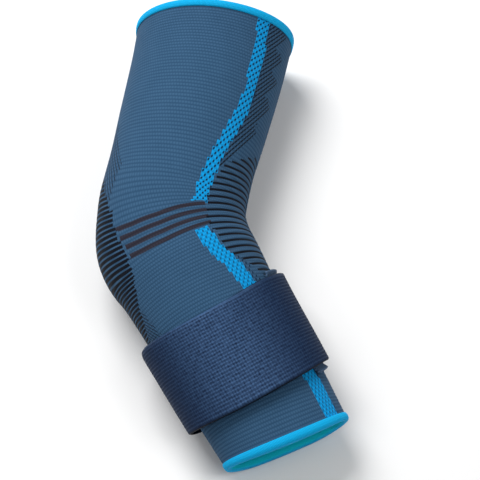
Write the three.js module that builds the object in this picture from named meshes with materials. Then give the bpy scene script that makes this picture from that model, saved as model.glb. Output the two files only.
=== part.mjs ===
// Elastic elbow support: a knitted tube with the bend of an arm, bound at both ends, and a wrapped forearm strap.
// It lies on its side with the bend level, and its underside is flattened where it rests.
// Millimetres, +Z up. The origin is on the resting plane under the elbow. +Y runs towards the upper arm,
// -Y towards the wrist, and +X from the point of the elbow to the crook.

import * as THREE from 'three';

const { clamp, degToRad, euclideanModulo, smoothstep } = THREE.MathUtils;

// Centre line: an arc at the elbow with a straight run to each end
const BEND = degToRad(20); // turn of each run away from Y
const BEND_RADIUS = 62;
const UPPER_END = 138; // finished ends, measured along the centre line from the elbow
const LOWER_END = -145;

// Sections of the sleeve. along: place on the centre line. elbow, crook: half widths to each side.
// height: from the underside to the top. lift: the underside's height above the resting plane.
// flat: share of the half width that is flat underneath.
const SECTIONS = [
  { along: -145, elbow: 36.5, crook: 36.8, height: 42.0, lift: 1.4, flat: 0.35 },
  { along: -105, elbow: 39.2, crook: 39.2, height: 49.0, lift: 2.3, flat: 0.4 },
  { along: -65, elbow: 41.4, crook: 40.4, height: 56.0, lift: 2.3, flat: 0.45 },
  { along: -32, elbow: 43.6, crook: 43.0, height: 62.0, lift: 2.3, flat: 0.45 },
  { along: -8, elbow: 47.2, crook: 44.0, height: 66.0, lift: 0.0, flat: 0.45 },
  { along: 12, elbow: 45.0, crook: 43.4, height: 67.5, lift: 0.0, flat: 0.45 },
  { along: 40, elbow: 45.0, crook: 42.6, height: 68.5, lift: 0.0, flat: 0.45 },
  { along: 75, elbow: 46.2, crook: 45.2, height: 71.0, lift: 0.0, flat: 0.45 },
  { along: 110, elbow: 47.2, crook: 47.6, height: 74.5, lift: 0.0, flat: 0.45 },
  { along: 138, elbow: 48.5, crook: 48.8, height: 78.0, lift: 2.1, flat: 0.45 },
];
const WIDEST_SHARE = 0.46; // height of the widest line, as a share of the section's height
const CORNER_SHARE = 2 / 3; // share of the lower quarter turn that goes to its rounded corner
const ROUND_STEPS = 48; // facets round the sleeve
const SLANT = 0.00066; // slant of the courses, growing with the distance from the elbow, per mm
const LOWER_LEAN = 3; // the wrist end reaches this much further on its upper side
const LOWER_LEAN_START = -95;

// Knitted wall and the ribs across the crook
const WALL = 2;
const RIB_FIRST = 50; // course of the groove nearest the upper arm
const RIB_PITCH = 5.15;
const RIB_COUNT = 20;
const RIB_LAST = RIB_FIRST - RIB_PITCH * RIB_COUNT;
const RIB_DEPTH = 0.5;
const RIB_MIDDLE = -15; // the ribbed zone is widest at this course
const RIB_EDGE = degToRad(26); // angle from the top line to the zone's edge there
const RIB_EDGE_FADE = degToRad(8);
const RIB_UPPER_TAPER = { reach: 65, angle: degToRad(42), power: 3 };
const RIB_LOWER_TAPER = { reach: 38, angle: degToRad(23), power: 4 };
const PLAIN_STEP = 15; // spacing of the loops where the wall is plain
const LINING_STEP = 13; // spacing of the loops on the inside

// Edge bindings, folded over each end of the wall
const GAP = 0.3; // clearance between neighbouring pieces
const BINDING = 1.1;
const BINDING_OUTSIDE = 5;
const BINDING_INSIDE = 9;
const BINDING_EDGE = 0.5; // bevel of the fold

// Forearm strap: a broad elastic band, wound once round the forearm and lapped on the crook side
const STRAP = 2;
const STRAP_WIDTH = 56;
const STRAP_MIDDLE = -84.5; // where its middle crosses the crook and elbow sides
const STRAP_LEAN = 8.5; // how much nearer the wrist it passes on the upper side
const STRAP_SKEW = 1.5;
const STRAP_START = 6 / ROUND_STEPS; // turns from the top line
const STRAP_FINISH = 1 + 12 / ROUND_STEPS;
const STRAP_ACROSS = 7; // points across the band
const STRAP_CORNER = 5; // radius of the corners at its two ends
const STRAP_STAND = 5.5; // how far the slack band stands off the sleeve
const STRAP_STAND_MIDDLE = -0.14; // the slack is greatest here, in turns from the top line
const STRAP_TUCK = 0.07; // share of the width over which the upper edge turns in to the sleeve
const STRAP_TUCK_STAND = 0.62; // share of the stand-off reached there, the rest grows evenly to the lower edge
const STRAP_FULL_STAND = 1.15;
const LAP_RISE = 5 / ROUND_STEPS; // the lapped end climbs over the first layer in this much of a turn
const LAP_FLARE = 1.5;

// Sewn patch under the strap, a little longer than the band is wide
const ANCHOR = 1.2;
const ANCHOR_LENGTH = 64;
const ANCHOR_START = 7 / ROUND_STEPS;
const ANCHOR_STEPS = 7;
const ANCHOR_FINISH = ANCHOR_START + ANCHOR_STEPS / ROUND_STEPS;
const ANCHOR_ACROSS = 6;

const FINISH = {
  knit: { color: 0x46658a, roughness: 0.85, metalness: 0 },
  binding: { color: 0x0fa0e0, roughness: 0.7, metalness: 0 },
  strap: { color: 0x24406b, roughness: 0.8, metalness: 0 },
  anchor: { color: 0x3f5a78, roughness: 0.85, metalness: 0 },
};

// Reading the table: a column's value on a smooth curve that doesn't overshoot its rows
function slopeBetween(low, high, column) {
  return (high[column] - low[column]) / (high.along - low.along);
}

function slopeAt(index, column) {
  const last = SECTIONS.length - 1;
  const before = slopeBetween(SECTIONS[Math.max(index - 1, 0)], SECTIONS[Math.max(index, 1)], column);
  const after = slopeBetween(SECTIONS[Math.min(index, last - 1)], SECTIONS[Math.min(index + 1, last)], column);
  return before * after > 0 ? (2 * before * after) / (before + after) : 0;
}

function columnAt(column, along) {
  const index = clamp(SECTIONS.findLastIndex((row) => row.along <= along), 0, SECTIONS.length - 2);
  const low = SECTIONS[index];
  const high = SECTIONS[index + 1];
  const span = high.along - low.along;
  const t = (along - low.along) / span;
  const rise = t * t * (3 - 2 * t);
  const leave = t * (1 - t) * (1 - t) * span * slopeAt(index, column);
  const arrive = t * t * (t - 1) * span * slopeAt(index + 1, column);
  return low[column] + (high[column] - low[column]) * rise + leave + arrive;
}

// Shape of the sleeve
function headingAt(along) {
  return clamp(along / BEND_RADIUS, -BEND, BEND);
}

function centreAt(along) {
  const heading = headingAt(along);
  const straight = along - heading * BEND_RADIUS;
  return {
    heading,
    x: BEND_RADIUS * (1 - Math.cos(heading)) + straight * Math.sin(heading),
    y: BEND_RADIUS * Math.sin(heading) + straight * Math.cos(heading),
  };
}

// round is in turns from the top line, positive towards the crook. offset is how far outside the sleeve's skin.
function sectionAt(along, round, offset) {
  const turn = euclideanModulo(round + 0.5, 1) - 0.5;
  const angle = Math.abs(turn) * 2 * Math.PI;
  const half = columnAt(turn < 0 ? 'elbow' : 'crook', along);
  const height = columnAt('height', along);
  const lift = columnAt('lift', along);
  const flat = columnAt('flat', along) * half;
  const widest = WIDEST_SHARE * height;
  if (angle <= Math.PI / 2) {
    const side = (half + offset) * Math.sin(angle);
    return { side: Math.sign(turn) * side, up: lift + widest + (height - widest + offset) * Math.cos(angle) };
  }
  const below = angle / (Math.PI / 2) - 1;
  const corner = (Math.min(below / CORNER_SHARE, 1) * Math.PI) / 2;
  const inward = Math.max(below - CORNER_SHARE, 0) / (1 - CORNER_SHARE);
  const side = flat * (1 - inward) + (half + offset - flat) * Math.cos(corner);
  return { side: Math.sign(turn) * side, up: lift + widest - (widest + offset) * Math.sin(corner) };
}

function sleevePoint(along, round, offset) {
  const { side, up } = sectionAt(along, round, offset);
  const { x, y, heading } = centreAt(along);
  const leanShare = clamp((LOWER_LEAN_START - along) / (LOWER_LEAN_START - LOWER_END), 0, 1) ** 2;
  const ahead = side * SLANT * along - LOWER_LEAN * leanShare * Math.cos(round * 2 * Math.PI);
  return new THREE.Vector3(
    x + side * Math.cos(heading) + ahead * Math.sin(heading),
    y - side * Math.sin(heading) + ahead * Math.cos(heading),
    up,
  );
}

// Place on the centre line of a course at a side distance. Between the first and last rib the courses are evenly
// spaced on every line along the sleeve, wider apart over the elbow and closer in the crook.
function alongOfCourse(course, side) {
  if (course > RIB_FIRST || course < RIB_LAST) return course;
  const upper = RIB_FIRST - side * BEND;
  const lower = RIB_LAST + side * BEND;
  const length = THREE.MathUtils.mapLinear(course, RIB_LAST, RIB_FIRST, lower, upper);
  const bendEnd = BEND * (BEND_RADIUS - side);
  if (length > bendEnd) return length + side * BEND;
  if (length < -bendEnd) return length - side * BEND;
  return length / (1 - side / BEND_RADIUS);
}

function coursePoint(course, round, offset) {
  const { side } = sectionAt(course, round, offset);
  return sleevePoint(alongOfCourse(course, side), round, offset);
}

// Share of the rib's depth at a point, 0 outside the zone across the crook
function ribShare(course, round) {
  const taper = course > RIB_MIDDLE ? RIB_UPPER_TAPER : RIB_LOWER_TAPER;
  const start = RIB_EDGE + taper.angle * (Math.abs(course - RIB_MIDDLE) / taper.reach) ** taper.power;
  const angle = round * 2 * Math.PI;
  const fromTop = smoothstep(angle, start, start + RIB_EDGE_FADE);
  const fromUnder = smoothstep(Math.PI - angle, start, start + RIB_EDGE_FADE);
  return fromTop * fromUnder;
}

// Building: loops of points that each close on themselves become one closed skin
function skin(loops, closedRing) {
  const size = loops[0].length;
  const faces = [];
  const bands = closedRing ? loops.length : loops.length - 1;
  const addQuad = (a, b, c, d) => faces.push(a, b, c, a, c, d);
  for (let i = 0; i < bands; i++) {
    const row = i * size;
    const next = ((i + 1) % loops.length) * size;
    for (let j = 0; j < size; j++) {
      const after = (j + 1) % size;
      addQuad(row + j, row + after, next + after, next + j);
    }
  }
  if (!closedRing) {
    const last = (loops.length - 1) * size;
    for (let j = 0; j < size / 2 - 1; j++) {
      const back = size - 1 - j;
      addQuad(j, back, back - 1, j + 1);
      addQuad(last + j, last + j + 1, last + back - 1, last + back);
    }
  }
  const geometry = new THREE.BufferGeometry();
  const positions = loops.flat().flatMap((point) => point.toArray());
  geometry.setAttribute('position', new THREE.Float32BufferAttribute(positions, 3));
  geometry.setIndex(faces);
  geometry.computeVertexNormals();
  return geometry;
}

function piece(name, geometry, finish) {
  const mesh = new THREE.Mesh(geometry, new THREE.MeshStandardMaterial(finish));
  mesh.name = name;
  return mesh;
}

function evenly(first, last, step) {
  const count = Math.ceil(Math.abs(last - first) / step);
  return Array.from({ length: count + 1 }, (_, i) => first + ((last - first) * i) / count);
}

function ringOf(pointAt) {
  return Array.from({ length: ROUND_STEPS }, (_, i) => pointAt(i / ROUND_STEPS));
}

// Sleeve: outer skin from the wrist end to the upper arm, then the inside back again
function makeSleeve() {
  const lower = LOWER_END + GAP + BINDING;
  const upper = UPPER_END - GAP - BINDING;
  const outer = [];
  const addPlain = (courses) => {
    courses.forEach((course) => outer.push(ringOf((round) => coursePoint(course, round, 0))));
  };
  addPlain(evenly(lower, RIB_LAST - RIB_PITCH / 2, PLAIN_STEP));
  for (let half = 2 * RIB_COUNT; half >= 0; half--) {
    const course = RIB_FIRST - (half * RIB_PITCH) / 2;
    const depth = half % 2 === 0 ? RIB_DEPTH : 0;
    outer.push(ringOf((round) => coursePoint(course, round, -depth * ribShare(course, round))));
  }
  addPlain(evenly(RIB_FIRST + RIB_PITCH / 2, upper, PLAIN_STEP));
  const lining = evenly(upper, lower, LINING_STEP);
  const inner = lining.map((course) => ringOf((round) => coursePoint(course, round, -WALL)));
  return piece('sleeve', skin([...outer, ...inner], true), FINISH.knit);
}

// Binding: a folded band whose outer leg is shorter than its inner leg. outward is +1 at the upper end.
function makeBinding(name, end, outward) {
  const outside = GAP + BINDING;
  const inside = -WALL - GAP - BINDING;
  const fold = GAP + BINDING;
  const profile = [
    { reach: -BINDING_OUTSIDE, offset: GAP },
    { reach: -BINDING_OUTSIDE, offset: outside },
    { reach: fold - BINDING_EDGE, offset: outside },
    { reach: fold, offset: outside - BINDING_EDGE },
    { reach: fold, offset: inside + BINDING_EDGE },
    { reach: fold - BINDING_EDGE, offset: inside },
    { reach: -BINDING_INSIDE, offset: inside },
    { reach: -BINDING_INSIDE, offset: -WALL - GAP },
    { reach: GAP, offset: -WALL - GAP },
    { reach: GAP, offset: GAP },
  ];
  const wallEnd = end - outward * fold;
  const loops = profile.map(({ reach, offset }) => {
    const along = wallEnd + outward * reach;
    return ringOf((round) => sleevePoint(along, round, offset));
  });
  if (outward < 0) loops.reverse();
  return piece(name, skin(loops, true), FINISH.binding);
}

// Strap: clearance under the band at a turn of its winding, and how far the slack lifts it off the sleeve
function strapClearance(turn, across) {
  const overAnchor = 1 - smoothstep(turn, ANCHOR_FINISH, ANCHOR_FINISH + LAP_RISE);
  const lap = smoothstep(turn, 1 + STRAP_START - LAP_RISE, 1 + STRAP_START);
  const layers = overAnchor * (GAP + ANCHOR) + lap * (GAP + ANCHOR + STRAP + GAP + LAP_FLARE * across);
  const slack = Math.max(Math.cos((turn - STRAP_STAND_MIDDLE) * 2 * Math.PI), 0);
  const tuck = STRAP_TUCK_STAND * (1 - Math.exp(-across / STRAP_TUCK));
  const stand = tuck + (STRAP_FULL_STAND - STRAP_TUCK_STAND) * across;
  return GAP + Math.max(layers, STRAP_STAND * slack * stand);
}

function strapAlong(turn, distance) {
  const angle = turn * 2 * Math.PI;
  return STRAP_MIDDLE - STRAP_LEAN * Math.cos(angle) + STRAP_SKEW * Math.sin(angle) + distance;
}

// A flat band's loop at one turn: across its outer face from the upper edge, then back across its inner face
function bandLoop(turn, width, thickness, points, clearanceAt) {
  const shares = Array.from({ length: points }, (_, i) => i / (points - 1));
  const place = (share, offset) => sleevePoint(strapAlong(turn, width * (0.5 - share)), turn, offset);
  const outer = shares.map((share) => place(share, clearanceAt(share) + thickness));
  const inner = shares.map((share) => place(share, clearanceAt(share)));
  return [...outer, ...inner.reverse()];
}

function makeStrap() {
  const steps = Math.round((STRAP_FINISH - STRAP_START) * ROUND_STEPS);
  const girth = 2 * Math.PI * columnAt('crook', STRAP_MIDDLE);
  const cornerTurns = STRAP_CORNER / girth;
  const ends = [0, cornerTurns / 4];
  const middle = Array.from({ length: steps - 1 }, (_, i) => (i + 1) / ROUND_STEPS);
  const turns = [...ends, ...middle, ...ends.map((end) => steps / ROUND_STEPS - end).reverse()];
  const loops = turns.map((wound) => {
    const fromEnd = Math.min(wound, steps / ROUND_STEPS - wound) / cornerTurns;
    const inset = STRAP_CORNER * (1 - Math.sqrt(1 - (1 - Math.min(fromEnd, 1)) ** 2));
    const turn = STRAP_START + wound;
    return bandLoop(turn, STRAP_WIDTH - 2 * inset, STRAP, STRAP_ACROSS, (share) => strapClearance(turn, share));
  });
  return piece('strap', skin(loops, false), FINISH.strap);
}

function makeAnchor() {
  const loops = Array.from({ length: ANCHOR_STEPS + 1 }, (_, i) => {
    const turn = ANCHOR_START + i / ROUND_STEPS;
    return bandLoop(turn, ANCHOR_LENGTH, ANCHOR, ANCHOR_ACROSS, () => GAP);
  });
  return piece('strap_anchor', skin(loops, false), FINISH.anchor);
}

const support = new THREE.Group();
support.add(
  makeSleeve(),
  makeBinding('rim_upper', UPPER_END, 1),
  makeBinding('rim_lower', LOWER_END, -1),
  makeStrap(),
  makeAnchor(),
);

export default support;
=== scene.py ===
"""Elastic elbow support: the knitted sleeve, its two bindings, its forearm strap and the patch under it.

Shapes are worked out in millimetres and turned to metres as they are placed. +Y runs to the upper arm,
and +X from the point of the elbow to the crook.
"""
import math
from collections import namedtuple
from functools import partial

import bmesh
import bpy
import numpy as np
from bpy.props import FloatProperty, FloatVectorProperty, PointerProperty
from mathutils import Matrix, Vector


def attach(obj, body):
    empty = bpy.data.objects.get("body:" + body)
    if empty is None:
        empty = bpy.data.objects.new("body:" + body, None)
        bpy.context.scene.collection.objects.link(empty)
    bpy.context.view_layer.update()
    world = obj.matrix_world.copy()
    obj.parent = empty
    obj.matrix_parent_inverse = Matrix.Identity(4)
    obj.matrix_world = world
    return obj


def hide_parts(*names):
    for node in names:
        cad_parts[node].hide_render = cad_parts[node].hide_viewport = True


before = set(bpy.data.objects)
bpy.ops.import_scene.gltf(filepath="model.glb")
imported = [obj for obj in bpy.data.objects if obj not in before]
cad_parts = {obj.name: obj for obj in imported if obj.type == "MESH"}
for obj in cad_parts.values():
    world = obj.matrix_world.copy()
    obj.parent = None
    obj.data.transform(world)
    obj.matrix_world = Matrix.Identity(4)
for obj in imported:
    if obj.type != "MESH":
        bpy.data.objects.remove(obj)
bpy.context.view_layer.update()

bl_info = {
    "name": "Elastic Elbow Support",
    "version": (1, 0, 0),
    "blender": (4, 5, 0),
    "location": "View3D > Sidebar > Elbow Support",
    "description": "Builds a knitted elbow support with bound ends and a wrapped forearm strap",
    "category": "Add Mesh",
}

MM = 0.001
WELD = MM / 1000  # points closer than this are one

# Centre line: an arc at the elbow with a straight run to each end
BEND = math.radians(20)
BEND_RADIUS = 62
BEND_END = BEND * BEND_RADIUS
UPPER_END = 138
LOWER_END = -145

# Sections of the sleeve. along: place on the centre line. elbow, crook: half widths to each side.
# height: from the underside to the top. lift: the underside's height above the resting plane.
# flat: share of the half width that is flat underneath.
Section = namedtuple("Section", "along elbow crook height lift flat")
SECTIONS = (
    Section(-145, 36.5, 36.8, 42.0, 1.4, 0.35),
    Section(-105, 39.2, 39.2, 49.0, 2.3, 0.40),
    Section(-65, 41.4, 40.4, 56.0, 2.3, 0.45),
    Section(-32, 43.6, 43.0, 62.0, 2.3, 0.45),
    Section(-8, 47.2, 44.0, 66.0, 0.0, 0.45),
    Section(12, 45.0, 43.4, 67.5, 0.0, 0.45),
    Section(40, 45.0, 42.6, 68.5, 0.0, 0.45),
    Section(75, 46.2, 45.2, 71.0, 0.0, 0.45),
    Section(110, 47.2, 47.6, 74.5, 0.0, 0.45),
    Section(138, 48.5, 48.8, 78.0, 2.1, 0.45),
)
WIDEST_SHARE = 0.46  # share of the height at which a section is widest
CORNER_SHARE = 2 / 3  # share of each lower quarter turn that goes round the corner to the flat
SLANT = 0.00066  # courses reach out on the crook side, more so towards each end

# How the two ends lie
LOWER_LEAN = 3.75  # the top reaches out and the underside draws back
LOWER_BOW = 2.75  # the top and the underside reach further than the sides
LOWER_LEAN_START = -95
UPPER_LEAN = 3  # the top draws back and the underside reaches out
UPPER_BOW = 1.5  # the crook side reaches out
UPPER_BOW_ELBOW = -1  # the elbow side draws back
UPPER_UNDER = 4  # the lower half reaches out further
UPPER_UNDER_TURN = 0.6  # how gradually it does so from the sides down, in cosines of the turn
UPPER_LEAN_START = 95

# Stitches: wales run along the sleeve, about 1.6 mm apart, and courses round it, widest apart above the
# elbow. Real ones are about half as wide and high, and too fine to show.
WALES = 160
Pitch = namedtuple("Pitch", "along size")
COURSE_PITCHES = (
    Pitch(-145, 1.9), Pitch(-60, 2.1), Pitch(-20, 2.05), Pitch(0, 2.4), Pitch(30, 2.65), Pitch(60, 2.45),
    Pitch(90, 2.2), Pitch(138, 1.9),
)
COURSE_STEP = 0.5  # of the table of courses
ROWS = 4  # rows of faces to a course
STITCH_STEP = 0.4  # wales that a stitch lies aside of the one below
LINING_ROWS = 60

# Zones of the knit, by their edges. angle: degrees from the top line, positive towards the crook.
Mark = namedtuple("Mark", "along angle")
LATTICE_UPPER = (
    Mark(-0.5, 23.7), Mark(10, 25.3), Mark(20, 27.6), Mark(35, 30.8), Mark(50, 36.3), Mark(65, 41.2),
    Mark(76, 44.2), Mark(88, 45.2), Mark(116, 43.2), Mark(138, 41.5),
)
LATTICE_LOWER = (
    Mark(-145, 48.5), Mark(-118, 45.8), Mark(-80, 41), Mark(-58, 31.5), Mark(-47.5, 27.6),
    Mark(-41.5, 23.6), Mark(-36, 20.1), Mark(-30, 18), Mark(-20.5, 16.4),
)
LATTICE_UPPER_HALF = 2.4  # half widths of the bright stripe, in wales
LATTICE_LOWER_HALF = 2.6
LATTICE_WRIST_HALF = 4
LATTICE_FOOT = (Mark(-0.5, 0), Mark(3, 0))  # the upper stripe's last course reaches a wale further
DOTS_BEYOND = 0.4  # wales past the stripe's edge towards the crook
DOTS_LOWER = 0.7  # how strongly the dots show below the elbow
CROOK_HATCH = (
    Mark(33, 37), Mark(36.5, 41), Mark(45, 47), Mark(54, 54), Mark(63, 59), Mark(72, 63), Mark(80, 64),
    Mark(100, 63.7), Mark(113.5, 62.3), Mark(129, 59.4), Mark(138, 58),
)
TOOTH = 6  # wales by which the crook's hatched zone steps out, over a number of its lines
TOOTH_LINES = 5
TOOTH_FADE = (25, 70)  # places along the sleeve between which the steps grow
HATCH_RISE = 1  # wales that a line crosses in a course
HATCH_PITCH = 1.6  # wales from line to line
HATCH_LAST = 2  # number of the crook's lowest line
FOREARM_DOTS = (Mark(-62, 50), Mark(-48, 41), Mark(-38, 27))
UPPER_BACK_HATCH = (Mark(3, -62), Mark(10, -52), Mark(25.5, -45), Mark(60, -70), Mark(70, -90))
LOWER_BACK_HATCH = (Mark(-75, -48), Mark(-62, -57), Mark(-42, -63), Mark(-40, -90))
BANDS = (
    Mark(-62, -84), Mark(-58, -77), Mark(-42, -63), Mark(-27, -49), Mark(-15.5, -42), Mark(3, -47.5),
    Mark(21, -68.8), Mark(27, -84),
)
RIBS = (
    Mark(-56, 56), Mark(-48.5, 42.6), Mark(-43, 32.5), Mark(-36, 27), Mark(-15, 25), Mark(3, 29.5),
    Mark(19, 32.5), Mark(30, 37.5), Mark(36, 42), Mark(41, 50), Mark(50, 68), Mark(54, 80),
)
RIB_FADE = 8  # degrees over which the ribs reach their full depth

# Dark lines. Ribs are spaced along the surface from the lower end of the bend.
RIB_BASE = -15.4
RIB_PITCH = 4.9
RIB_FAN = 0.032  # they lie closer together deep in the crook, by this for each millimetre aside
RIB_SHARE = 0.37  # share of the pitch that is dark
BAND_BASE = -20.3  # the bands are wider apart below this
BAND_PITCH = 2.0
BAND_LOWER_PITCH = 2.4
BAND_TILT = -0.085  # millimetres along for each degree
BAND_TILT_FROM = -60
BAND_SHARE = 0.66
Bars = namedtuple("Bars", "angle first last")  # middles of the first and last bar at an angle
BARS = (
    Bars(-43.5, -4.2, -17), Bars(-30, -4.9, -18.1), Bars(-10, -4.3, -18.9), Bars(5, -2.6, -18.6),
    Bars(26, -0.8, -17.8),
)
BAR_COUNT = 4
BAR_SHARE = 0.52
BAR_INDENT = 1.5  # degrees from the bands
LINE_BLUR = 0.06  # share of the pitch
ZONES = ("lattice", "dots", "crook_hatch", "back_hatch", "bars", "bands", "ribs")

# Bindings, folded over each end of the wall. reach: along the sleeve from the wall's end, outwards.
GAP = 0.3  # between two pieces
BINDING = 1.1  # thickness of the tape
BINDING_STITCH = 0.75  # from stitch to stitch, just coarse enough to show
BINDING_ROUND = 3  # columns of faces to a stitch
Fold = namedtuple("Fold", "reach offset")
BINDING_PROFILE = (
    Fold(-2.9, 0.2), Fold(-2.7, 0.9), Fold(-1.9, 1.4), Fold(-0.9, 1.6), Fold(0.4, 1.4), Fold(1.25, 0.5),
    Fold(1.4, -1.0), Fold(1.2, -2.5), Fold(0.3, -3.3), Fold(-3.0, -3.45), Fold(-7.5, -3.4),
    Fold(-8.9, -2.9), Fold(-8.4, -2.4), Fold(-4.0, -2.3), Fold(0.2, -2.2), Fold(0.25, -1.0),
    Fold(0.2, 0.2), Fold(-1.4, 0.2),
)
BINDING_STEPS = 2 * len(BINDING_PROFILE)
BINDING_TURN = 8  # fold from which the inner face, with its painted light, shows
BINDING_CLEAR = 0.2  # from the wall to the outer leg
BINDING_SNUG = 0.4  # share of the outer leg's thickness at the sides and underneath
BINDING_SNUG_TURN = (-0.1, 0.5)  # cosines of the turns over which it grows to its full thickness
UPPER_LEG = 1.3  # share of the profile's outer leg
LOWER_LEG = 0.95

# Forearm strap, wound once round the forearm, and the patch under its lap. Both start and finish on facets
# of the solids, and their turns run from the top line towards the crook.
FACETS = 48  # to a turn
STRAP_WIDTH = 56
STRAP_MIDDLE = -85.5
STRAP_LEAN = 8.5  # its top lies nearer the wrist
STRAP_SKEW = 4  # its crook side lies nearer the elbow
STRAP_START = 6 / FACETS
STRAP_FINISH = 1 + 12 / FACETS
STRAP_GIRTH = 232
STRAP_CORNER = 5  # radius of its free corners
STRAP_STAND = 6.5  # how far it stands off where it is slack
STRAP_STAND_MIDDLE = -0.18  # turns
STRAP_TUCK = 0.025  # share of the width in which the upper edge comes down to the sleeve
STRAP_TUCK_STAND = 0.75  # share of the slack past that edge
STRAP_FULL_STAND = 0.85  # and at the lower edge
STRAP_TAPER = 4.5  # the lower edge stands off, as the forearm narrows
STRAP_RIDE = 2.5  # the upper edge rides up on the elbow side
STRAP_RIBS = 30  # about 1.9 mm apart
STRAP_RIB_COLUMNS = 3  # columns of faces to a rib
STRAP_CELL = 1.35  # length of a cell, drawn as coarse as it needs to be to show
STRAP_CELL_ROWS = 2  # rows of faces to a cell
STRAP_SELVEDGE = 2.6  # flat part along the upper edge
STRAP_SELVEDGE_STEP = 0.5  # in which the waffle rises beside it
STRAP_EDGE_SHADOW = 0.8  # width of the painted shadow along both edges
# Painted highlight on the strap: its threads are painted lighter over the top and darker towards the sides
STRAP_HIGHLIGHT_SPREAD = 0.17  # turns from the middle of the painted highlight to where the band's sides are fully in painted shade
STRAP_HIGHLIGHT_MIDDLE = -0.03
LAP_RISE = 5 / FACETS  # turns in which the band climbs on what is under it
ANCHOR_LENGTH = 64
ANCHOR_START = 7 / FACETS
ANCHOR_FINISH = 14 / FACETS
ANCHOR_FLARE = 2  # its two ends stand off
ANCHOR_COVERED = 27.5  # from its middle, the part that the band presses down
ANCHOR_STEP = 0.6  # size of the patch's faces
PATCH_STEP = 1.5  # the patch and its gap
STRAP_STEP = 2.3  # the band and its gap
EDGE_ROUND = 0.9  # radius of the edges of both

# Finishes. Heights run from 0 between the stitches or in the hollow of a cell to 1 on top.
STITCH_EDGE = 0.3  # wales in which a stitch rises from its side
STITCH_SIDE = 0.3  # its height there
MELANGE_PATCH = 9  # size of the lighter and darker places in the sleeve's yarn
MELANGE_LIGHT = 0.4  # how much they differ
DASH_HALVES = (0.44, 0.31)  # half length and half width of a dot, in stitches
DASH_BLUR = 0.2  # share of the halves
HATCH_LINE = (0.25, 0.17)  # shares of the pitch from a line's middle, where it starts and where it is full
HATCH_FULL = 0.6  # height on a course from which a line is full
HATCH_BETWEEN = 0.25  # how strongly it shows between the courses
ZONE_SHADE = 0.7  # painted shade: lightness of coloured yarn between the stitches
KNIT_ROUGHNESS = (0.95, 0.8)  # at the height of 0 and of 1, as on the tape and the webbing
KNIT_BUMP = 0.3
TAPE_ROW_END = 0.7  # height of a stitch at the ends of its row
TAPE_SHADE = 0.55  # painted shade: lightness of the yarn between the stitches
TAPE_ROUGHNESS = (0.9, 0.65)
TAPE_BUMP = 0.2
THREAD_EDGE = 0.9  # share of a groove's depth in which the light thread beside it fades
THREAD_LEAST = 0.4  # how strongly the light threads show in the grooves between them
CELL_LEAST = 0.45  # and where the cells' cross threads hold them down
CELL_EDGE = 0.7  # share of a cell's rise in which they come up again
SELVEDGE_THREAD = 0.8  # along the selvedge
SELVEDGE_BLUR = 0.4
SHADED_SIDE_THREAD = 0.26  # share of the light threads that shows in the painted shade on the band's sides
WEBBING_PATCH = 1.5  # size of the lighter and darker places in the band, drawn coarser than its fibres
WEBBING_LIGHT = 1.2
WEBBING_ROUGHNESS = (0.9, 0.5)
WEBBING_BUMP = 0.3
PATCH_THREAD = 0.8  # real threads are about half as thick, and too fine to show
PATCH_BUMP = 0.15

# Camera, fitted to the outline, and the stage
CAMERA_AZIMUTH = math.radians(-6.8)
CAMERA_ELEVATION = math.radians(63.1)
CAMERA_ROLL = math.radians(-1.9)
CAMERA_DISTANCE = 860
CAMERA_TARGET = (25, 0, 30)
CAMERA_ASIDE = (14.5, -7.5)
CAMERA_VIEW = math.radians(18.82)
FLOOR_SIZE = 3000
FLOOR_BELOW = 0.2
WORLD_STRENGTH = 0.2
Light = namedtuple("Light", "name place size watts")
LIGHTS = (
    Light("key", (-250, 520, 860), 650, 11.4),
    Light("fill", (600, -250, 850), 500, 3.2),
    Light("side", (-600, -400, 700), 500, 1.5),
)


def linear(hex_colour):
    """An sRGB hex colour as linear red, green and blue, by the standard's own curve."""
    parts = [int(hex_colour[i:i + 2], 16) / 255 for i in (0, 2, 4)]
    return tuple(p / 12.92 if p <= 0.04045 else ((p + 0.055) / 1.055) ** 2.4 for p in parts)


class SupportSizes(bpy.types.PropertyGroup):
    """Thicknesses of the pieces and depths of their relief."""

    wall: FloatProperty(
        name="Knit thickness", description="Thickness of the knitted wall",
        default=2 * MM, unit="LENGTH")
    course_relief: FloatProperty(
        name="Course relief", description="Height of each knitted course",
        default=0.04 * MM, unit="LENGTH")
    rib_depth: FloatProperty(
        name="Rib depth", description="Depth of the crook's grooves",
        default=0.4 * MM, unit="LENGTH")
    stitch_relief: FloatProperty(
        name="Stitch relief", description="Height of the binding's stitches",
        default=0.1 * MM, unit="LENGTH")
    strap: FloatProperty(
        name="Strap thickness", description="Thickness of the elastic band",
        default=2 * MM, unit="LENGTH")
    strap_relief: FloatProperty(
        name="Strap relief", description="Height of the band's waffle weave",
        default=0.1 * MM, unit="LENGTH")
    anchor: FloatProperty(
        name="Patch thickness", description="Thickness of the sewn patch",
        default=1.2 * MM, unit="LENGTH")


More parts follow.
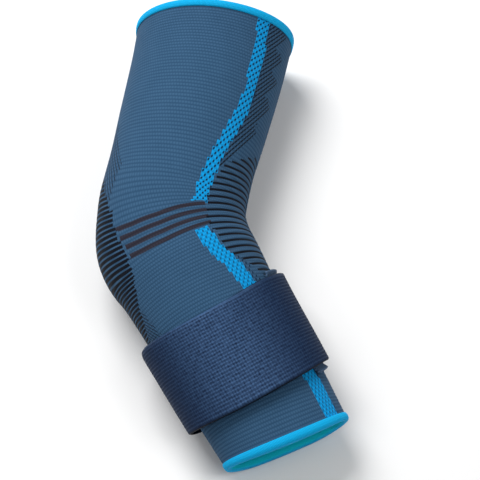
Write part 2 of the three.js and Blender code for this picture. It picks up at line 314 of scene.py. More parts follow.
class SupportColours(bpy.types.PropertyGroup):
    """Yarn colours."""

    knit: FloatVectorProperty(
        name="Knit", description="Main yarn of the sleeve",
        subtype="COLOR", default=linear("365877"))
    # Painted shade: the main yarn as it looks darkened between the courses
    knit_shade: FloatVectorProperty(
        name="Knit shade", description="Main yarn between the courses",
        subtype="COLOR", default=linear("264561"))
    lattice: FloatVectorProperty(
        name="Lattice", description="Bright stripe",
        subtype="COLOR", default=linear("0598DC"))
    # Black is also the painted shadow along both edges of the strap
    black: FloatVectorProperty(
        name="Black", description="Ribs, bands, hatching in the crook and the strap's hems",
        subtype="COLOR", default=linear("050A16"))
    dots: FloatVectorProperty(
        name="Dots", description="Dots on the bright stripe",
        subtype="COLOR", default=linear("0A2844"))
    hatch: FloatVectorProperty(
        name="Hatching", description="Fine lines beside the elbow",
        subtype="COLOR", default=linear("1C2F45"))
    bars: FloatVectorProperty(
        name="Bars", description="Bars across the elbow",
        subtype="COLOR", default=linear("2D2B36"))
    binding: FloatVectorProperty(
        name="Binding", description="Bound ends",
        subtype="COLOR", default=linear("06B4F0"))
    # Painted light: a lighter copy of the binding yarn on the inner face, which lies in shade inside the
    # ends
    binding_inside_painted_light: FloatVectorProperty(
        name="Binding inside", description="Inner face of the bindings",
        subtype="COLOR", default=linear("10E0F8"))
    strap: FloatVectorProperty(
        name="Strap", description="Ground of the band",
        subtype="COLOR", default=linear("081731"))
    strap_thread: FloatVectorProperty(
        name="Strap thread", description="Raised threads of the band",
        subtype="COLOR", default=linear("3D5B82"))
    anchor: FloatVectorProperty(
        name="Patch", description="Sewn patch under the band",
        subtype="COLOR", default=linear("4A5F7C"))
    floor: FloatVectorProperty(
        name="Floor", description="Paper under the support",
        subtype="COLOR", default=linear("F2F2F2"))


# Shape of the sleeve, as arrays in millimetres
def column(name, along):
    """A column of the sections on a smooth curve that doesn't overshoot its rows."""
    at = np.array([row.along for row in SECTIONS], float)
    value = np.array([getattr(row, name) for row in SECTIONS], float)
    rise = np.diff(value) / np.diff(at)
    before = np.r_[rise[0], rise]
    after = np.r_[rise, rise[-1]]
    agree = before * after > 0
    slope = np.where(agree, 2 * before * after / np.where(agree, before + after, 1), 0)
    low = np.clip(np.searchsorted(at, along, side="right") - 1, 0, len(at) - 2)
    span = at[low + 1] - at[low]
    t = (along - at[low]) / span
    eased = value[low] + (value[low + 1] - value[low]) * t * t * (3 - 2 * t)
    return eased + span * t * (1 - t) * ((1 - t) * slope[low] - t * slope[low + 1])


def section(along, turns, offset):
    """Side distance and height of a point. turns run from the top line, offset outwards from the skin."""
    turn = (turns + 0.5) % 1 - 0.5
    angle = np.abs(turn) * 2 * np.pi
    half = np.where(turn < 0, column("elbow", along), column("crook", along))
    height = column("height", along)
    widest = WIDEST_SHARE * height
    flat = column("flat", along) * half
    below = np.maximum(angle / (np.pi / 2) - 1, 0)
    corner = np.minimum(below / CORNER_SHARE, 1) * np.pi / 2
    inward = np.maximum(below - CORNER_SHARE, 0) / (1 - CORNER_SHARE)
    upper = angle <= np.pi / 2
    side_below = flat * (1 - inward) + (half + offset - flat) * np.cos(corner)
    side = np.where(upper, (half + offset) * np.sin(angle), side_below)
    up_above = widest + (height - widest + offset) * np.cos(angle)
    up = np.where(upper, up_above, widest - (widest + offset) * np.sin(corner))
    return np.sign(turn) * side, column("lift", along) + up


def sleeve_point(along, turns, offset):
    """Places on the sleeve, in metres, none below the resting plane."""
    side, up = section(along, turns, offset)
    heading = np.clip(along / BEND_RADIUS, -BEND, BEND)
    straight = along - heading * BEND_RADIUS
    across, over = np.sin(turns * 2 * np.pi), np.cos(turns * 2 * np.pi)
    lower_share = np.clip((LOWER_LEAN_START - along) / (LOWER_LEAN_START - LOWER_END), 0, 1) ** 2
    upper_share = np.clip((along - UPPER_LEAN_START) / (UPPER_END - UPPER_LEAN_START), 0, 1) ** 2
    ahead = side * SLANT * along - lower_share * (LOWER_LEAN * over + LOWER_BOW * over ** 2)
    upper_bow = np.where(across < 0, UPPER_BOW_ELBOW, UPPER_BOW)
    upper_under = UPPER_UNDER * (1 - np.exp(np.minimum(over, 0) / UPPER_UNDER_TURN))
    ahead += upper_share * (upper_bow * across ** 4 - UPPER_LEAN * over + upper_under)
    onward = straight + ahead
    x = BEND_RADIUS * (1 - np.cos(heading)) + onward * np.sin(heading) + side * np.cos(heading)
    y = BEND_RADIUS * np.sin(heading) + onward * np.cos(heading) - side * np.sin(heading)
    return np.stack([x, y, np.maximum(up, 0)], -1) * MM


def course_table():
    """Places along the sleeve and the number of courses up to each, from the elbow."""
    along = np.arange(LOWER_END, UPPER_END + COURSE_STEP, COURSE_STEP)
    pitch = np.interp(along, [row.along for row in COURSE_PITCHES], [row.size for row in COURSE_PITCHES])
    course = np.cumsum(COURSE_STEP / pitch)
    return along, course - np.interp(0, along, course)


def along_at(course):
    """Place along the sleeve of a course."""
    along, courses = course_table()
    return np.interp(course, courses, along)


def smooth(value, low, high):
    """A smooth step from 0 at low to 1 at high."""
    t = np.clip((value - low) / (high - low), 0, 1)
    return t * t * (3 - 2 * t)


# Zones of the knit
def folded(turns):
    """Degrees from the top line or, underneath, from the middle line of the underside, which mirrors it."""
    angle = turns * 360
    return np.where(np.abs(angle) > 90, np.sign(angle) * 180 - angle, angle)


def edge(marks, along):
    """Angle of a zone's edge at places along the sleeve."""
    return np.interp(along, [mark.along for mark in marks], [mark.angle for mark in marks])


def within(marks, along):
    """Whether places along the sleeve are between a zone's first and last mark."""
    return (along > marks[0].along) & (along < marks[-1].along)


def rib_course(along, turns):
    """Number of ribs from the base, measured along the surface of the crook."""
    side = np.maximum(section(along, turns, 0)[0], 0)
    bent = np.clip(along, -BEND_END, BEND_END)
    length = (bent + BEND_END) * (1 - side / BEND_RADIUS) + along - bent
    return (length - RIB_BASE) / (RIB_PITCH - RIB_FAN * side)


def band_course(along, turns):
    """Number of elbow bands from the base."""
    place = along - BAND_TILT * (folded(turns) - BAND_TILT_FROM) - BAND_BASE
    return place / np.where(place > 0, BAND_PITCH, BAND_LOWER_PITCH)


def bar_course(along, turns):
    """Number of bars from the first one's middle."""
    angles = [row.angle for row in BARS]
    first = np.interp(folded(turns), angles, [row.first for row in BARS])
    last = np.interp(folded(turns), angles, [row.last for row in BARS])
    return (first - along) / (first - last) * (BAR_COUNT - 1)


def from_line(course):
    """Distance from the nearest line's middle, as a share of the pitch."""
    return np.abs((course + 0.5) % 1 - 0.5)


def rib_share(along, turns):
    """Share of the ribs' full depth."""
    inside = smooth(folded(turns) - edge(RIBS, along), 0, RIB_FADE)
    return np.where(within(RIBS, along), inside, 0)


def stitch_zones(middle_wale, middle_course):
    """What each face shows, by its stitch's place or by its own middle. Every second stitch has a dot."""
    stitch_wale, stitch_course = np.floor(middle_wale), np.floor(middle_course)
    along = along_at(stitch_course + 0.5)
    wale = stitch_wale + 0.5
    angle = wale / WALES * 360
    upper = within(LATTICE_UPPER, along)
    lower = within(LATTICE_LOWER, along)
    centre = np.where(upper, edge(LATTICE_UPPER, along), edge(LATTICE_LOWER, along)) / 360 * WALES
    narrowing = (STRAP_MIDDLE, LATTICE_LOWER[-1].along)
    lower_half = np.interp(along, narrowing, (LATTICE_WRIST_HALF, LATTICE_LOWER_HALF))
    half = np.where(upper, LATTICE_UPPER_HALF, lower_half)
    foot = within(LATTICE_FOOT, along) & (wale < centre)
    from_edge = half + foot - np.abs(wale - centre)
    lattice = (from_edge > 0) & (upper | lower)
    beyond = wale - centre > half
    forearm = beyond & within(FOREARM_DOTS, along) & (angle < edge(FOREARM_DOTS, along))
    edged = beyond & (from_edge > -DOTS_BEYOND) & (upper | lower) | forearm
    even = (stitch_wale + stitch_course) % 2 == 0
    bands = (angle < edge(BANDS, along)) & within(BANDS, along)
    back = within(UPPER_BACK_HATCH, along) & (angle < edge(UPPER_BACK_HATCH, along))
    back |= within(LOWER_BACK_HATCH, along) & (angle < edge(LOWER_BACK_HATCH, along))

    exact_along, exact_turns = along_at(middle_course), middle_wale / WALES
    line = np.floor((middle_wale - HATCH_RISE * middle_course) / HATCH_PITCH + 0.5)
    tooth = TOOTH * smooth(exact_along, *TOOTH_FADE) * (line % TOOTH_LINES) / TOOTH_LINES
    crook = beyond & within(CROOK_HATCH, exact_along) & (line <= HATCH_LAST)
    crook &= middle_wale < edge(CROOK_HATCH, exact_along) / 360 * WALES + tooth
    bar = bar_course(exact_along, exact_turns)
    bars = (bar > -0.5) & (bar < BAR_COUNT - 0.5)
    bars &= (angle > edge(BANDS, along) + BAR_INDENT) & (angle < BARS[-1].angle)
    ribs = (folded(exact_turns) > edge(RIBS, exact_along)) & within(RIBS, exact_along)
    return {
        "lattice": lattice & ~bars,
        "dots": ((lattice | edged) & even & ~bars) * np.where(lower & ~edged, DOTS_LOWER, 1),
        "crook_hatch": crook & ~ribs,
        "back_hatch": back & ~bands,
        "bars": bars,
        "bands": bands,
        "ribs": ribs & ~forearm & ~lattice,
    }


# Building
def flat_grid(bm, uv, columns, rows, low, high):
    """A grid of faces from low to high, whose flat coordinates are kept as its UV map."""
    verts = bmesh.ops.create_grid(bm, x_segments=columns, y_segments=rows, size=0.5)["verts"]
    middle = [(a + b) / 2 for a, b in zip(low, high)]
    size = [b - a for a, b in zip(low, high)]
    fit = Matrix.Translation((*middle, 0)) @ Matrix.Diagonal((*size, 1, 1))
    bmesh.ops.transform(bm, matrix=fit, verts=verts)
    faces = list({face: None for vert in verts for face in vert.link_faces})
    for face in faces:
        face.smooth = True
        for loop in face.loops:
            loop[uv].uv = loop.vert.co.xy
    return verts, faces


def roll(verts, place):
    """Moves a flat grid's vertices to their places, which follow from its two flat coordinates."""
    flat = np.array([vert.co for vert in verts])
    for vert, point in zip(verts, place(flat[:, 0], flat[:, 1])):
        vert.co = point


def close_walls(bm, loops):
    """Welds the seams, joins the inner and outer walls round each loop and turns all faces outwards."""
    bmesh.ops.remove_doubles(bm, verts=bm.verts, dist=WELD)
    open_edges = [rim for rim in bm.edges if rim.is_boundary]
    for chosen in loops:
        bmesh.ops.bridge_loops(bm, edges=[rim for rim in open_edges if chosen(rim)])
    bmesh.ops.recalc_face_normals(bm, faces=bm.faces)


def weave_band(bm, columns, rows, low, high, place):
    """Makes a closed band of an inner and an outer face, for each of which place gives the points."""
    uv = bm.loops.layers.uv.new("weave")
    inside, inside_faces = flat_grid(bm, uv, columns, rows, low, high)
    bmesh.ops.reverse_faces(bm, faces=inside_faces)
    outside, _ = flat_grid(bm, uv, columns, rows, low, high)
    roll(outside, partial(place, outer=True))
    roll(inside, partial(place, outer=False))
    close_walls(bm, [lambda rim: True])


def finish_piece(bm, name, material, node):
    """Makes the object of a piece, which stands for its node and rides on the one body."""
    mesh = bpy.data.meshes.new(name)
    bm.to_mesh(mesh)
    bm.free()
    mesh.materials.append(material)
    piece = bpy.data.objects.new(name, mesh)
    bpy.context.scene.collection.objects.link(piece)
    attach(piece, "root")
    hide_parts(node)
    return piece


# Materials
def add_node(tree, kind, inputs=None, **settings):
    """Adds a node with its settings. An input, by name or number, is a value, or a node or socket."""
    node = tree.nodes.new(kind)
    for name, value in settings.items():
        setattr(node, name, value)
    for key, value in (inputs or {}).items():
        named = [socket for socket in node.inputs if socket.enabled and socket.name == key]
        socket = named[0] if named else node.inputs[key]
        if isinstance(value, bpy.types.Node):
            value = next(output for output in value.outputs if output.enabled)
        if isinstance(value, bpy.types.NodeSocket):
            tree.links.new(value, socket)
        else:
            socket.default_value = value
    return node


def new_material(name):
    """An empty node material, with a function that adds nodes to it."""
    material = bpy.data.materials.new(name)
    material.use_nodes = True
    material.node_tree.nodes.clear()
    return material, partial(add_node, material.node_tree)


def opaque(colour):
    """A colour with full alpha, as colour sockets take it."""
    return (*colour, 1)


def knit_material(colours):
    """Flat-knitted polyamide and elastane: matt courses of loops, with a slight bloom of loose fibre."""
    material, add = new_material("polyamide_elastic_knit")
    place = add("ShaderNodeSeparateXYZ", {"Vector": add("ShaderNodeUVMap", uv_map="knit")})
    wale, course = place.outputs["X"], place.outputs["Y"]
    wale_part = add("ShaderNodeMath", {0: wale}, operation="FRACT")
    course_part = add("ShaderNodeMath", {0: course}, operation="FRACT")
    # Each stitch is a wale wide and a course high, and lies a little aside of the one below
    course_floor = add("ShaderNodeMath", {0: course}, operation="FLOOR")
    aside = add("ShaderNodeMath", {0: course_floor, 1: STITCH_STEP, 2: wale}, operation="MULTIPLY_ADD")
    wale_round = add("ShaderNodeMapRange", {
        "Value": add("ShaderNodeMath", {0: aside, 1: 0.5}, operation="PINGPONG"),
        "From Min": 0.0, "From Max": STITCH_EDGE, "To Min": STITCH_SIDE, "To Max": 1.0,
        }, interpolation_type="SMOOTHSTEP")
    course_turn = add("ShaderNodeMath", {0: course_part, 1: math.pi}, operation="MULTIPLY")
    course_round = add("ShaderNodeMath", {0: course_turn}, operation="SINE")
    height = add("ShaderNodeMath", {0: course_round, 1: wale_round}, operation="MULTIPLY")
    # The yarn is a little lighter and darker in places
    melange = add("ShaderNodeTexNoise", {
        "Vector": add("ShaderNodeTexCoord").outputs["Object"],
        "Scale": 1 / (MELANGE_PATCH * MM), "Detail": 4.0})
    light = add("ShaderNodeMath", {
        0: melange, 1: MELANGE_LIGHT, 2: -MELANGE_LIGHT / 2}, operation="MULTIPLY_ADD")
    shown = add("ShaderNodeMath", {0: height, 1: light}, operation="ADD", use_clamp=True)
    # Painted shade between the courses, from the stitches' height, plus the melange's real lighter and
    # darker places
    colour = add("ShaderNodeMix", {
        "Factor": shown, "A": opaque(colours.knit_shade), "B": opaque(colours.knit)}, data_type="RGBA")
    # Dots are dashes on the diagonal of their stitch, and hatching joins them into lines
    dash = add("ShaderNodeMapping", {
        "Vector": add("ShaderNodeCombineXYZ", {"X": wale_part, "Y": course_part}),
        "Location": (0.5, 0.5, 0), "Rotation": (0, 0, math.pi / 4), "Scale": (*DASH_HALVES, 1),
        }, vector_type="TEXTURE")
    from_dash = add("ShaderNodeVectorMath", {0: dash}, operation="LENGTH").outputs["Value"]
    dot = add("ShaderNodeMapRange", {
        "Value": from_dash, "From Min": 1 + DASH_BLUR, "From Max": 1 - DASH_BLUR})
    stitch = add("ShaderNodeMapRange", {
        "Value": course_round, "From Max": HATCH_FULL, "To Min": HATCH_BETWEEN, "To Max": 1.0})
    rising = add("ShaderNodeMath", {0: course, 1: -HATCH_RISE, 2: wale}, operation="MULTIPLY_ADD")
    falling = add("ShaderNodeMath", {0: course, 1: HATCH_RISE, 2: wale}, operation="MULTIPLY_ADD")
    hatches = []
    for diagonal in (rising, falling):
        line = add("ShaderNodeMath", {0: diagonal, 1: HATCH_PITCH}, operation="DIVIDE")
        from_middle = add("ShaderNodeMath", {0: line, 1: 0.5}, operation="PINGPONG")
        dark = add("ShaderNodeMapRange", {
            "Value": from_middle, "From Min": HATCH_LINE[0], "From Max": HATCH_LINE[1]})
        hatches.append(add("ShaderNodeMath", {0: dark, 1: stitch}, operation="MULTIPLY"))
    stripes = []
    for name, share in (("bar", BAR_SHARE), ("band", BAND_SHARE), ("rib", RIB_SHARE)):
        line = add("ShaderNodeAttribute", attribute_name=name + "_course").outputs["Fac"]
        from_middle = add("ShaderNodeMath", {0: line, 1: 0.5}, operation="PINGPONG")
        stripes.append(add("ShaderNodeMapRange", {
            "Value": from_middle, "From Min": share / 2 + LINE_BLUR, "From Max": share / 2 - LINE_BLUR}))
    # Each zone's yarn covers the ones before it
    zones = (
        ("ribs", 1.0, colours.knit),
        ("bars", stripes[0], colours.bars),
        ("bands", stripes[1], colours.black),
        ("ribs", stripes[2], colours.black),
        ("crook_hatch", hatches[0], colours.black),
        ("back_hatch", hatches[1], colours.hatch),
        ("lattice", 1.0, colours.lattice),
        ("dots", dot, colours.dots),
    )
    # The same painted shade between the stitches darkens each zone's yarn
    yarn_light = add("ShaderNodeMapRange", {"Value": shown, "To Min": ZONE_SHADE, "To Max": 1.0})
    for zone, pattern, yarn in zones:
        marked = add("ShaderNodeAttribute", attribute_name=zone).outputs["Fac"]
        mask = add("ShaderNodeMath", {0: marked, 1: pattern}, operation="MULTIPLY")
        shaded = add("ShaderNodeVectorMath", {0: yarn, "Scale": yarn_light}, operation="SCALE")
        colour = add("ShaderNodeMix", {"Factor": mask, "A": colour, "B": shaded}, data_type="RGBA")
    roughness = add("ShaderNodeMapRange", {
        "Value": height, "To Min": KNIT_ROUGHNESS[0], "To Max": KNIT_ROUGHNESS[1]})
    bump = add("ShaderNodeBump", {"Height": height, "Strength": 0.4, "Distance": KNIT_BUMP * MM})
    shader = add("ShaderNodeBsdfPrincipled", {
        "Base Color": colour, "Roughness": roughness, "Specular IOR Level": 0.12, "Sheen Weight": 0.03,
        "Sheen Roughness": 0.5, "Normal": bump})
    add("ShaderNodeOutputMaterial", {"Surface": shader})
    return material


def binding_material(colours):
    """Rib-knitted elastic tape: bright yarn with a soft shine, in close stitches across the fold."""
    material, add = new_material("rib_knitted_elastic_tape")
    place = add("ShaderNodeSeparateXYZ", {"Vector": add("ShaderNodeUVMap", uv_map="tape")})
    arches = []
    for axis in ("X", "Y"):
        turn = add("ShaderNodeMath", {0: place.outputs[axis], 1: math.pi}, operation="MULTIPLY")
        side = add("ShaderNodeMath", {0: turn}, operation="SINE")
        arches.append(add("ShaderNodeMath", {0: side}, operation="ABSOLUTE"))
    row_arch, stitch_arch = arches
    row = add("ShaderNodeMapRange", {"Value": row_arch, "To Min": TAPE_ROW_END, "To Max": 1.0})
    height = add("ShaderNodeMath", {0: stitch_arch, 1: row}, operation="MULTIPLY")
    # Painted shade: the yarn darkens between the stitches
    shade = add("ShaderNodeMapRange", {"Value": height, "To Min": TAPE_SHADE, "To Max": 1.0})
    # Painted light: the inner face gets the lighter copy of the yarn
    inside = add("ShaderNodeMapRange", {
        "Value": place.outputs["X"], "From Min": BINDING_TURN - 1, "From Max": BINDING_TURN})
    yarn = add("ShaderNodeMix", {
        "Factor": inside, "A": opaque(colours.binding), "B": opaque(colours.binding_inside_painted_light),
        }, data_type="RGBA")
    colour = add("ShaderNodeVectorMath", {0: yarn, "Scale": shade}, operation="SCALE")
    roughness = add("ShaderNodeMapRange", {
        "Value": height, "To Min": TAPE_ROUGHNESS[0], "To Max": TAPE_ROUGHNESS[1]})
    bump = add("ShaderNodeBump", {"Height": height, "Strength": 0.6, "Distance": TAPE_BUMP * MM})
    shader = add("ShaderNodeBsdfPrincipled", {
        "Base Color": colour, "Roughness": roughness, "Specular IOR Level": 0.15, "Normal": bump})
    add("ShaderNodeOutputMaterial", {"Surface": shader})
    return material


def strap_material(colours):
    """Woven elastic webbing: dull covered rubber in ribs, with lighter threads in a waffle of cells."""
    material, add = new_material("woven_elastic_webbing")
    place = add("ShaderNodeSeparateXYZ", {"Vector": add("ShaderNodeUVMap", uv_map="weave")})
    threads = []
    for axis, until, low, high in (("X", THREAD_EDGE, 1.0, THREAD_LEAST), ("Y", CELL_EDGE, CELL_LEAST, 1.0)):
        turn = add("ShaderNodeMath", {0: place.outputs[axis], 1: math.pi}, operation="MULTIPLY")
        side = add("ShaderNodeMath", {0: turn}, operation="SINE")
        arch = add("ShaderNodeMath", {0: side}, operation="ABSOLUTE")
        threads.append(add("ShaderNodeMapRange", {
            "Value": arch, "From Max": until, "To Min": low, "To Max": high}))
    rib_thread, cell_thread = threads
    waffle = add("ShaderNodeMath", {0: rib_thread, 1: cell_thread}, operation="MULTIPLY")
    # The selvedge along the upper edge is flat, with its threads close together
    selvedge = add("ShaderNodeMapRange", {
        "Value": place.outputs["X"],
        "From Min": STRAP_SELVEDGE * STRAP_RIBS / STRAP_WIDTH,
        "From Max": (STRAP_SELVEDGE - SELVEDGE_BLUR) * STRAP_RIBS / STRAP_WIDTH,
        "To Max": SELVEDGE_THREAD})
    height = add("ShaderNodeMath", {0: waffle, 1: selvedge}, operation="MAXIMUM")
    fibre = add("ShaderNodeTexNoise", {
        "Vector": add("ShaderNodeTexCoord").outputs["Object"],
        "Scale": 1 / (WEBBING_PATCH * MM), "Detail": 3.0})
    light = add("ShaderNodeMath", {
        0: fibre, 1: WEBBING_LIGHT, 2: -WEBBING_LIGHT / 2}, operation="MULTIPLY_ADD")
    shown = add("ShaderNodeMath", {0: height, 1: light}, operation="ADD", use_clamp=True)
    # Painted highlight: the lighter threads show fully over the top of the band and fade to painted shade on
    # its sides
    highlight_cell = (1 + STRAP_HIGHLIGHT_MIDDLE) * STRAP_GIRTH / STRAP_CELL
    aside = add("ShaderNodeMath", {0: place.outputs["Y"], 1: highlight_cell}, operation="SUBTRACT")
    painted_highlight = add("ShaderNodeMapRange", {
        "Value": add("ShaderNodeMath", {0: aside}, operation="ABSOLUTE"),
        "From Min": 0.0, "From Max": STRAP_HIGHLIGHT_SPREAD * STRAP_GIRTH / STRAP_CELL,
        "To Min": 1.0, "To Max": SHADED_SIDE_THREAD}, interpolation_type="SMOOTHSTEP")
    thread = add("ShaderNodeMath", {0: shown, 1: painted_highlight}, operation="MULTIPLY")
    woven = add("ShaderNodeMix", {
        "Factor": thread, "A": opaque(colours.strap), "B": opaque(colours.strap_thread),
        }, data_type="RGBA")
    # Painted shadow: both edges are darkened to black, for the shade along the band's edges, deepest in the
    # gap where its lower edge stands off the sleeve
    middle = STRAP_RIBS / 2
    from_middle = add("ShaderNodeMath", {0: place.outputs["X"], 1: middle}, operation="SUBTRACT")
    edge_shadow = add("ShaderNodeMapRange", {
        "Value": add("ShaderNodeMath", {0: from_middle}, operation="ABSOLUTE"),
        "From Min": (0.5 - STRAP_EDGE_SHADOW / STRAP_WIDTH) * STRAP_RIBS, "From Max": middle})
    colour = add("ShaderNodeMix", {
        "Factor": edge_shadow, "A": woven, "B": opaque(colours.black)}, data_type="RGBA")
    roughness = add("ShaderNodeMapRange", {
        "Value": height, "To Min": WEBBING_ROUGHNESS[0], "To Max": WEBBING_ROUGHNESS[1]})
    bump = add("ShaderNodeBump", {"Height": height, "Strength": 0.35, "Distance": WEBBING_BUMP * MM})
    shader = add("ShaderNodeBsdfPrincipled", {
        "Base Color": colour, "Roughness": roughness, "Specular IOR Level": 0.1, "Normal": bump})
    add("ShaderNodeOutputMaterial", {"Surface": shader})
    return material


def anchor_material(colours):
    """Plain-woven polyester patch: dull, with crossing threads that make a fine check."""
    material, add = new_material("plain_woven_polyester")
    weave = add("ShaderNodeTexChecker", {
        "Vector": add("ShaderNodeUVMap", uv_map="weave"), "Scale": 1 / PATCH_THREAD,
        "Color1": opaque(colours.anchor), "Color2": opaque(colours.knit_shade)})
    bump = add("ShaderNodeBump", {
        "Height": weave.outputs["Fac"], "Strength": 0.5, "Distance": PATCH_BUMP * MM})
    shader = add("ShaderNodeBsdfPrincipled", {
        "Base Color": weave.outputs["Color"], "Roughness": 0.85, "Specular IOR Level": 0.25,
        "Normal": bump})
    add("ShaderNodeOutputMaterial", {"Surface": shader})
    return material


def floor_material(colours):
    """Uncoated white paper: even and dull."""
    material, add = new_material("uncoated_paper")
    shader = add("ShaderNodeBsdfPrincipled", {
        "Base Color": opaque(colours.floor), "Roughness": 0.9, "Specular IOR Level": 0.1})
    add("ShaderNodeOutputMaterial", {"Surface": shader})
    return material


# Strap
def strap_clearance(turn, share):
    """Gap under the band, which passes over the patch and itself and stands off where it is slack."""
    over_patch = 1 - smooth(turn, ANCHOR_FINISH, ANCHOR_FINISH + LAP_RISE)
    lap = smooth(turn, 1 + STRAP_START - LAP_RISE, 1 + STRAP_START)
    layers = over_patch * PATCH_STEP + lap * (PATCH_STEP + STRAP_STEP)
    slack = np.maximum(np.cos((turn - STRAP_STAND_MIDDLE) * 2 * np.pi), 0)
    tuck = STRAP_TUCK_STAND * (1 - np.exp(-share / STRAP_TUCK))
    stand = tuck + (STRAP_FULL_STAND - STRAP_TUCK_STAND) * share
    taper = STRAP_TAPER * share * np.maximum(np.cos(turn * 2 * np.pi), 0)
    return GAP + np.maximum.reduce([layers, STRAP_STAND * slack * stand, taper])


def band_point(turn, distance, offset):
    """Places on a band round the forearm. distance runs from its middle line towards the upper arm."""
    angle = turn * 2 * np.pi
    along = STRAP_MIDDLE - STRAP_LEAN * np.cos(angle) + STRAP_SKEW * np.sin(angle) + distance
    return sleeve_point(along, turn, offset)


def rounding(from_edge, radius):
    """How far a round edge of this radius drops at a distance from its end."""
    inside = 1 - np.clip(from_edge / radius, 0, 1)
    return radius * (1 - np.sqrt(1 - inside ** 2))


# Operators
class BuildSleeve(bpy.types.Operator):
    """Knits the sleeve as one closed wall, with its zones marked on its stitches"""

    bl_idname = "elbow_support.sleeve"
    bl_label = "Sleeve"

    def execute(self, context):
        sizes = context.scene.support_sizes
        bm = bmesh.new()
        uv = bm.loops.layers.uv.new("knit")
        zones = {name: bm.faces.layers.float.new(name) for name in ZONES}
        counted = (bar_course, band_course, rib_course)
        courses = {course: bm.verts.layers.float.new(course.__name__) for course in counted}
        ends = np.interp((LOWER_END + GAP + BINDING, UPPER_END - GAP - BINDING), *course_table())
        first, last = math.ceil(ends[0]), math.floor(ends[1])
        low, high = (-WALES / 2, first), (WALES / 2, last)
        lining, lining_faces = flat_grid(bm, uv, WALES, LINING_ROWS, low, high)
        bmesh.ops.reverse_faces(bm, faces=lining_faces)
        outside, faces = flat_grid(bm, uv, WALES, (last - first) * ROWS, low, high)

        flat = np.array([vert.co for vert in outside])
        for vert, mirrored in zip(outside, folded(flat[:, 0] / WALES) / 360 * WALES):
            for loop in vert.link_loops:
                loop[uv].uv.x = mirrored
        middles = np.array([face.calc_center_median() for face in faces])
        shown = stitch_zones(folded(middles[:, 0] / WALES) / 360 * WALES, middles[:, 1])
        for name, layer in zones.items():
            for face, value in zip(faces, shown[name]):
                face[layer] = value
        for course, layer in courses.items():
            for vert, value in zip(outside, course(along_at(flat[:, 1]), flat[:, 0] / WALES)):
                vert[layer] = value

        def place_outside(wale, course):
            along, turns = along_at(course), wale / WALES
            share = rib_share(along, turns)
            ridge = sizes.course_relief / MM * np.cos((course - 0.5) * 2 * np.pi) * (1 - share)
            line = smooth(from_line(rib_course(along, turns)), RIB_SHARE, 0)
            return sleeve_point(along, turns, ridge - sizes.rib_depth / MM * share * line)

        roll(outside, place_outside)
        roll(lining, lambda wale, course: sleeve_point(along_at(course), wale / WALES, -sizes.wall / MM))
        close_walls(bm, [lambda rim: rim.verts[0].co.y < 0, lambda rim: rim.verts[0].co.y > 0])
        material = knit_material(context.scene.support_colours)
        sleeve = finish_piece(bm, "knitted_sleeve", material, "sleeve")
        return {"FINISHED"}


class BuildBindings(bpy.types.Operator):
    """Folds a knitted tape over each end of the sleeve"""

    bl_idname = "elbow_support.bindings"
    bl_label = "Bindings"

    def execute(self, context):
        material = binding_material(context.scene.support_colours)
        self.bind(context, "upper_binding", "rim_upper", UPPER_END, 1, UPPER_LEG, material)
        self.bind(context, "lower_binding", "rim_lower", LOWER_END, -1, LOWER_LEG, material)
        return {"FINISHED"}

    def bind(self, context, name, node, end, outward, leg, material):
        """One binding. outward is 1 at the upper end and -1 at the lower, leg the outer leg's share."""
        relief = context.scene.support_sizes.stitch_relief / MM
        girth = math.tau * np.mean([column(side, end) for side in ("elbow", "crook")])
        stitches = round(girth / BINDING_STITCH)
        bm = bmesh.new()
        uv = bm.loops.layers.uv.new("tape")
        verts, _ = flat_grid(
            bm, uv, BINDING_STEPS, stitches * BINDING_ROUND, (0, 0), (len(BINDING_PROFILE), stitches))
        corners = np.arange(len(BINDING_PROFILE) + 1)
        folds = BINDING_PROFILE + BINDING_PROFILE[:1]
        offset = [fold.offset for fold in folds]
        reach = [fold.reach * (leg if fold.offset > 0 > fold.reach else 1) for fold in folds]

        def place(across, stitch):
            along = end + outward * (np.interp(across, corners, reach) - GAP - BINDING)
            turn = stitch / stitches
            full = smooth(np.cos(turn * 2 * np.pi), *BINDING_SNUG_TURN)
            raised = np.interp(across, corners, offset)
            outer_leg = np.maximum(raised - BINDING_CLEAR, 0)
            raised = raised - outer_leg * (1 - BINDING_SNUG) * (1 - full)
            skin = np.where(raised > 0, 1, -1) * relief * (np.abs(np.sin(stitch * np.pi)) - 0.5)
            return sleeve_point(along, turn, raised + skin)

        roll(verts, place)
        close_walls(bm, [])
        finish_piece(bm, name, material, node)


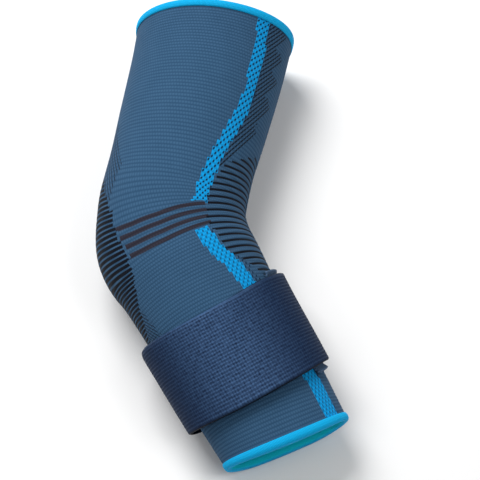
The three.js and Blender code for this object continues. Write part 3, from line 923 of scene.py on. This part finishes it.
class BuildStrap(bpy.types.Operator):
    """Winds the elastic band round the forearm, lapped over its own start"""

    bl_idname = "elbow_support.strap"
    bl_label = "Strap"

    def execute(self, context):
        sizes = context.scene.support_sizes
        first, last = [turn * STRAP_GIRTH / STRAP_CELL for turn in (STRAP_START, STRAP_FINISH)]
        columns, rows = STRAP_RIBS * STRAP_RIB_COLUMNS, round((last - first) * STRAP_CELL_ROWS)

        def place(rib, cell, outer):
            share = rib / STRAP_RIBS
            turn = cell * STRAP_CELL / STRAP_GIRTH
            from_end = np.minimum(cell - first, last - cell) * STRAP_CELL
            from_side = np.minimum(share, 1 - share) * STRAP_WIDTH
            width = STRAP_WIDTH - 2 * rounding(from_end, STRAP_CORNER)
            # Half of the relief stands above the band's face, and half is sunk in it
            waffle = (1 - np.abs(np.sin(rib * np.pi))) * (1 + np.abs(np.sin(cell * np.pi))) / 2 - 0.5
            waffle *= smooth(share * STRAP_WIDTH, STRAP_SELVEDGE - STRAP_SELVEDGE_STEP, STRAP_SELVEDGE)
            face = sizes.strap / MM - rounding(np.minimum(from_end, from_side), EDGE_ROUND)
            face = face + sizes.strap_relief / MM * waffle
            offset = strap_clearance(turn, share) + np.where(outer, face, 0)
            ride = STRAP_RIDE * (1 - share) * np.maximum(-np.sin(turn * 2 * np.pi), 0) ** 2
            return band_point(turn, width * (0.5 - share) + ride, offset)

        bm = bmesh.new()
        weave_band(bm, columns, rows, (0, first), (STRAP_RIBS, last), place)
        material = strap_material(context.scene.support_colours)
        strap = finish_piece(bm, "elastic_strap", material, "strap")
        return {"FINISHED"}


class BuildAnchor(bpy.types.Operator):
    """Sews the patch under the band, on the crook side"""

    bl_idname = "elbow_support.anchor"
    bl_label = "Patch under the strap"

    def execute(self, context):
        thickness = context.scene.support_sizes.anchor / MM
        length = (ANCHOR_FINISH - ANCHOR_START) * STRAP_GIRTH
        columns, rows = [round(size / ANCHOR_STEP) for size in (ANCHOR_LENGTH, length)]

        def place(distance, wound, outer):
            from_edge = np.minimum.reduce([ANCHOR_LENGTH / 2 - np.abs(distance), wound, length - wound])
            face = thickness - rounding(from_edge, EDGE_ROUND)
            flare = ANCHOR_FLARE * smooth(np.abs(distance), ANCHOR_COVERED, ANCHOR_LENGTH / 2)
            offset = GAP + flare + np.where(outer, face, 0)
            return band_point(ANCHOR_START + wound / STRAP_GIRTH, distance, offset)

        bm = bmesh.new()
        weave_band(bm, columns, rows, (-ANCHOR_LENGTH / 2, 0), (ANCHOR_LENGTH / 2, length), place)
        material = anchor_material(context.scene.support_colours)
        finish_piece(bm, "strap_patch", material, "strap_anchor")
        return {"FINISHED"}


class BuildStage(bpy.types.Operator):
    """Lays the paper floor and sets up the lights and the camera"""

    bl_idname = "elbow_support.stage"
    bl_label = "Stage"

    def execute(self, context):
        scene = context.scene
        bm = bmesh.new()
        bmesh.ops.create_grid(
            bm, x_segments=1, y_segments=1, size=FLOOR_SIZE * MM,
            matrix=Matrix.Translation((0, 0, -FLOOR_BELOW * MM)))
        mesh = bpy.data.meshes.new("floor")
        bm.to_mesh(mesh)
        bm.free()
        mesh.materials.append(floor_material(scene.support_colours))
        floor = bpy.data.objects.new("floor", mesh)
        scene.collection.objects.link(floor)

        target = Vector(CAMERA_TARGET) * MM
        for row in LIGHTS:
            lamp = bpy.data.lights.new(row.name, "AREA")
            lamp.size = row.size * MM
            lamp.energy = row.watts
            light = bpy.data.objects.new(row.name, lamp)
            light.location = Vector(row.place) * MM
            light.rotation_euler = (light.location - target).to_track_quat("Z", "Y").to_euler()
            scene.collection.objects.link(light)
        world = bpy.data.worlds.new("studio")
        world.use_nodes = True
        world.node_tree.nodes["Background"].inputs["Color"].default_value = opaque((1, 1, 1))
        world.node_tree.nodes["Background"].inputs["Strength"].default_value = WORLD_STRENGTH
        scene.world = world
        scene.view_settings.view_transform = "Standard"

        back = Vector((
            math.sin(CAMERA_AZIMUTH) * math.cos(CAMERA_ELEVATION),
            -math.cos(CAMERA_AZIMUTH) * math.cos(CAMERA_ELEVATION),
            math.sin(CAMERA_ELEVATION)))
        camera = bpy.data.objects.new("camera", bpy.data.cameras.new("camera"))
        camera.data.angle = CAMERA_VIEW
        turned = back.to_track_quat("Z", "Y").to_matrix() @ Matrix.Rotation(CAMERA_ROLL, 3, "Z")
        place = target + turned @ Vector((*CAMERA_ASIDE, CAMERA_DISTANCE)) * MM
        camera.matrix_world = Matrix.Translation(place) @ turned.to_4x4()
        scene.collection.objects.link(camera)
        scene.camera = camera
        return {"FINISHED"}


BUILDERS = (BuildBindings, BuildAnchor, BuildSleeve, BuildStrap, BuildStage)


class SupportPanel(bpy.types.Panel):
    """Lists the sizes, the colours and the pieces"""

    bl_idname = "VIEW3D_PT_elbow_support"
    bl_label = "Elbow Support"
    bl_space_type = "VIEW_3D"
    bl_region_type = "UI"
    bl_category = "Elbow Support"

    def draw(self, context):
        for group in (context.scene.support_sizes, context.scene.support_colours):
            for name in group.__annotations__:
                self.layout.prop(group, name)
        for builder in BUILDERS:
            self.layout.operator(builder.bl_idname)


CLASSES = (SupportSizes, SupportColours, *BUILDERS, SupportPanel)


def register():
    """Registers the classes and gives the scene their sizes and colours."""
    for cls in CLASSES:
        bpy.utils.register_class(cls)
    bpy.types.Scene.support_sizes = PointerProperty(type=SupportSizes)
    bpy.types.Scene.support_colours = PointerProperty(type=SupportColours)


def unregister():
    """Takes away what register added."""
    del bpy.types.Scene.support_colours
    del bpy.types.Scene.support_sizes
    for cls in reversed(CLASSES):
        bpy.utils.unregister_class(cls)


def main():
    """Builds the support and its stage."""
    register()
    for builder in BUILDERS:
        group, name = builder.bl_idname.split(".")
        getattr(getattr(bpy.ops, group), name)()


if __name__ == "__main__":
    main()
